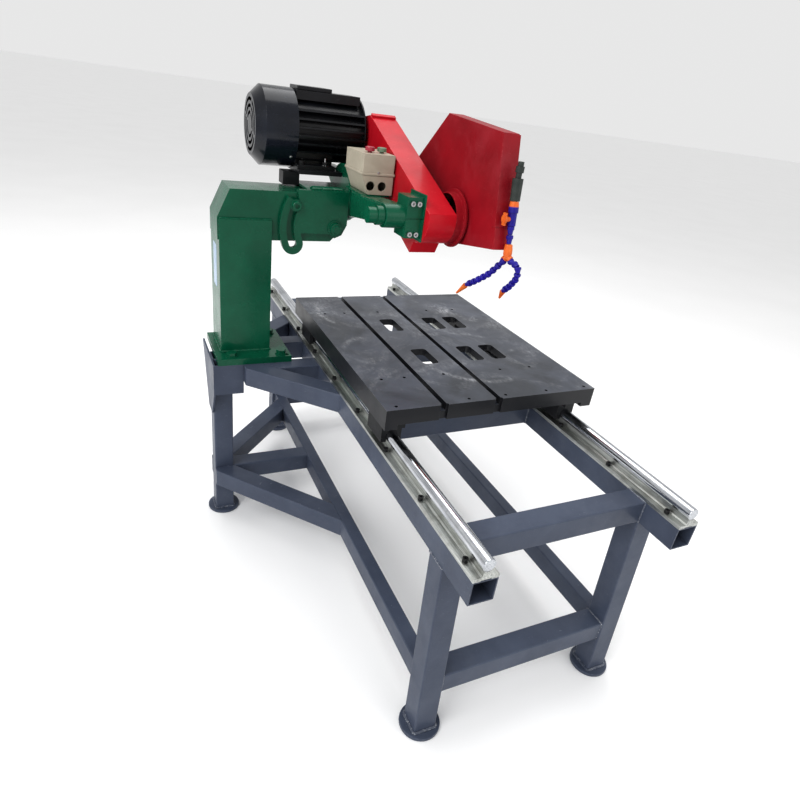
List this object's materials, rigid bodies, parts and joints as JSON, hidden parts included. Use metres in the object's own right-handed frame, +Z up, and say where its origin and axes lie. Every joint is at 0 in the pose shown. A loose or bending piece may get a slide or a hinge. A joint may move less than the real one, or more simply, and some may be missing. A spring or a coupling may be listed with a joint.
{
  "type": "wet stone and tile saw",
  "caption": "Stone and tile saw with a sliding cast table on round rails and a tilting, swinging motor head that carries a hooded blade spindle.",
  "frame": {"origin": "on the floor under the middle of the whole machine", "axes": "+Y along the rails away from the operator, +Z up, +X towards the operator's right"},
  "size_m": [0.966, 1.7, 1.367],
  "materials": {
    "frame_paint": "satin",
    "rail_aluminium": "milled",
    "shaft_chrome": "ground",
    "black_steel": "black oxide",
    "table_iron": "ground and oiled",
    "green_enamel": "gloss enamel",
    "bright_steel": "turned",
    "belt_rubber": "matt",
    "cover_red": "gloss",
    "guard_red": "gloss",
    "motor_black": "gloss",
    "fan_plastic": "moulded",
    "box_plastic": "moulded",
    "stop_red": "moulded",
    "start_green": "moulded",
    "hose_grey": "moulded",
    "bead_blue": "moulded",
    "bead_orange": "moulded"
  },
  "bodies": {
    "frame": {"rail_tubes": "frame_paint", "rail_supports": "rail_aluminium", "rail_shafts": "shaft_chrome", "rail_bolts": "black_steel", "corner_legs": "frame_paint", "outrigger_leg": "frame_paint", "foot_pads": "frame_paint", "top_cross_beams": "frame_paint", "lower_cross_beams": "frame_paint", "lower_stretchers": "frame_paint", "outrigger_top_diagonals": "frame_paint", "outrigger_low_diagonals": "frame_paint", "outrigger_straights": "frame_paint", "column_base_plate": "green_enamel", "column_bolts": "green_enamel", "seat_gussets": "green_enamel", "column": "green_enamel", "arm": "green_enamel", "bevel_clamp_bolt": "green_enamel", "bevel_pivot_bolt": "green_enamel"},
    "table": {"table_top": "table_iron", "table_bars": "table_iron", "bearing_blocks": "black_steel", "table_screws": "black_steel"},
    "bracket": {"tilt_bracket": "green_enamel", "head_stop": "black_steel", "trunnion": "green_enamel"},
    "head": {"swing_arm": "green_enamel", "motor_plate": "green_enamel", "spindle_clamp": "green_enamel", "clamp_screws": "bright_steel", "spindle_housing": "green_enamel", "spindle_bearings": "bright_steel", "spindle_shroud": "cover_red", "drive_belts": "belt_rubber", "belt_cover": "cover_red", "cover_edge_strip": "motor_black", "blade_guard": "guard_red", "motor_frame": "motor_black", "motor_bolts": "black_steel", "terminal_box_lid": "motor_black", "motor_end_bells": "motor_black", "fan_cowl": "motor_black", "switch_box": "box_plastic", "switch_lid": "box_plastic", "coolant_feed_pipe": "hose_grey", "valve_body": "bead_blue", "coolant_beads": "bead_blue", "coolant_wye": "bead_orange", "coolant_nozzles": "bead_orange"},
    "rotor": {"motor_rotor": "bright_steel", "cooling_fan": "fan_plastic", "motor_pulley": "bright_steel"},
    "spindle": {"spindle_shaft": "bright_steel", "blade_flanges": "bright_steel", "spindle_pulley": "bright_steel"},
    "stop_key": {"stop_button": "stop_red"},
    "start_key": {"start_button": "start_green"},
    "valve_lever": {"valve_knob": "bead_orange"}
  },
  "joints": [
    {"name": "table_slide", "type": "slide", "parent": "frame", "child": "table", "axis": [0, 1, 0], "range_m": [-0.4, 0.4]},
    {"name": "bevel_tilt", "type": "hinge", "parent": "frame", "child": "bracket", "pos_m": [-0.096, 0.294, 1], "axis": [0, 1, 0], "range_deg": [0, 45]},
    {"name": "head_swing", "type": "hinge", "parent": "bracket", "child": "head", "pos_m": [-0.04, 0.294, 1.092], "axis": [-1, 0, 0], "range_deg": [-22, 0]},
    {"name": "motor_spin", "type": "hinge", "parent": "head", "child": "rotor", "pos_m": [0, 0.395, 1.25], "axis": [1, 0, 0], "continuous": true},
    {"name": "spindle_spin", "type": "hinge", "parent": "head", "child": "spindle", "pos_m": [0, -0.093, 1.107], "axis": [1, 0, 0], "continuous": true},
    {"name": "stop_press", "type": "slide", "parent": "head", "child": "stop_key", "axis": [0, 0, 1], "range_m": [-0.0035, 0], "stiffness_N_per_m": 300, "springref_m": 0.001},
    {"name": "start_press", "type": "slide", "parent": "head", "child": "start_key", "axis": [0, 0, 1], "range_m": [-0.0035, 0], "stiffness_N_per_m": 300, "springref_m": 0.001},
    {"name": "valve_turn", "type": "hinge", "parent": "head", "child": "valve_lever", "pos_m": [0.16, -0.2995, 1.152], "axis": [1, 0, 0], "range_deg": [0, 90]}
  ],
  "couplings": [
    {"joint": "spindle_spin", "follows": "motor_spin", "ratio": 1}
  ]
}
